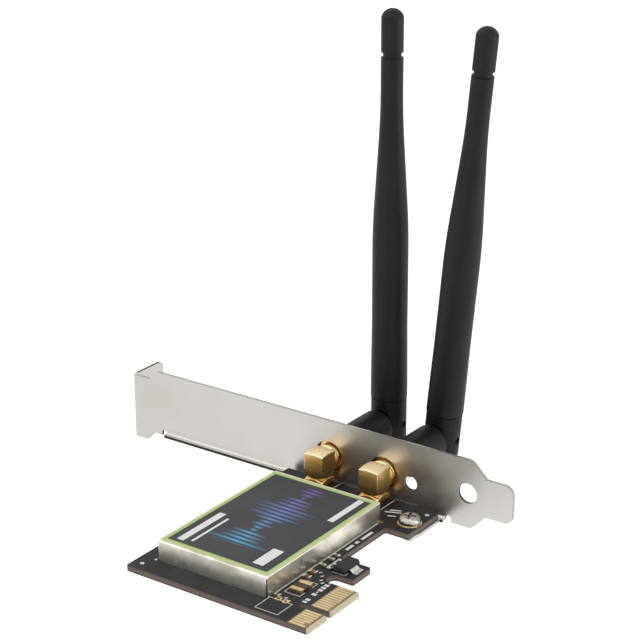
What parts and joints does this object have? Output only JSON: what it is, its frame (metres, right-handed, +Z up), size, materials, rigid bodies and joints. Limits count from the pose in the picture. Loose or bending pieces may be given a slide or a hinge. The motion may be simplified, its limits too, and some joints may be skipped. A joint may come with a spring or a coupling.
{
  "type": "expansion slot wi-fi card",
  "caption": "Expansion card with a shielded radio on a notched board, a folded slot bracket and a pair of hinged stick antennas on screw jacks, for giving a desktop computer wi-fi.",
  "frame": {"origin": "middle of the keyway between the edge contacts, at the contact edge, halfway through the board's thickness", "axes": "+X out of the contact edge the way the card goes into its slot, +Y from the board out through the bracket to the antennas, +Z up from the board's component side"},
  "size_m": [0.1204, 0.0993, 0.1227],
  "materials": {
    "solder_mask": "semi-gloss black mask over glass laminate",
    "gold_plating": "gold plating",
    "bracket_steel": "satin nickel plated sheet",
    "screw_steel": "bright plated",
    "tinplate": "scuffed tinplate",
    "label_print": "satin printed film",
    "chip_plastic": "moulded black",
    "ferrite": "dull ferrite",
    "ceramic": "fired brown ceramic",
    "resistor_ceramic": "fired tan ceramic",
    "solder_tin": "tin plated",
    "fuse_plastic": "dark brown laminate",
    "jack_gold": "gold plated brass",
    "white_insulator": "turned white plastic",
    "black_plastic": "fine matt moulding",
    "black_rubber": "matt overmould",
    "coax_jacket": "smooth black jacket",
    "brass_tube": "plain brass"
  },
  "bodies": {
    "card": {"circuit_board": "solder_mask", "edge_contacts_top": "gold_plating", "edge_contacts_bottom": "gold_plating", "screw_pad": "gold_plating", "ring_pads": "gold_plating", "fuse_ends": "gold_plating", "bracket": "bracket_steel", "bracket_screw": "screw_steel", "shield_can": "tinplate", "crystal": "tinplate", "shield_label": "label_print", "wifi_chip": "chip_plastic", "memory_chip": "chip_plastic", "front_end_chips": "chip_plastic", "regulator_body": "chip_plastic", "power_inductor": "ferrite", "inner_capacitors": "ceramic", "capacitor_bodies": "ceramic", "resistor_bodies": "resistor_ceramic", "solder_dots": "solder_tin", "capacitor_ends": "solder_tin", "resistor_ends": "solder_tin", "regulator_leads": "solder_tin", "fuse_body": "fuse_plastic", "jack_body_left": "jack_gold", "jack_body_right": "jack_gold", "jack_pin_left": "jack_gold", "jack_pin_right": "jack_gold", "coupling_nut_left": "jack_gold", "coupling_nut_right": "jack_gold", "jack_insulator_left": "white_insulator", "jack_insulator_right": "white_insulator"},
    "left_base": {"plug_shell_left": "jack_gold", "plug_contact_left": "jack_gold", "plug_insulator_left": "white_insulator", "antenna_base_left": "black_plastic", "base_coax_left": "coax_jacket"},
    "left_whip": {"antenna_fork_left": "black_plastic", "hinge_pin_left": "black_plastic", "antenna_sheath_left": "black_rubber", "whip_coax_left": "coax_jacket", "dipole_sleeve_left": "brass_tube", "radiator_left": "brass_tube"},
    "right_base": {"plug_shell_right": "jack_gold", "plug_contact_right": "jack_gold", "plug_insulator_right": "white_insulator", "antenna_base_right": "black_plastic", "base_coax_right": "coax_jacket"},
    "right_whip": {"antenna_fork_right": "black_plastic", "hinge_pin_right": "black_plastic", "antenna_sheath_right": "black_rubber", "whip_coax_right": "coax_jacket", "dipole_sleeve_right": "brass_tube", "radiator_right": "brass_tube"}
  },
  "joints": [
    {"name": "left_swivel", "type": "hinge", "parent": "card", "child": "left_base", "pos_m": [-0.04095, 0.0582, 0.00668], "axis": [0, 1, 0], "range_deg": [-180, 2.5]},
    {"name": "left_elbow", "type": "hinge", "parent": "left_base", "child": "left_whip", "pos_m": [-0.04095, 0.08625, 0.00668], "axis": [-1, 0, 0], "range_deg": [0, 90]},
    {"name": "right_swivel", "type": "hinge", "parent": "card", "child": "right_base", "pos_m": [-0.0241, 0.0582, 0.00668], "axis": [0, 1, 0], "range_deg": [-8.7, 173.8]},
    {"name": "right_elbow", "type": "hinge", "parent": "right_base", "child": "right_whip", "pos_m": [-0.0241, 0.08625, 0.00668], "axis": [-0.9942, 0, 0.108], "range_deg": [0, 91.2]}
  ]
}
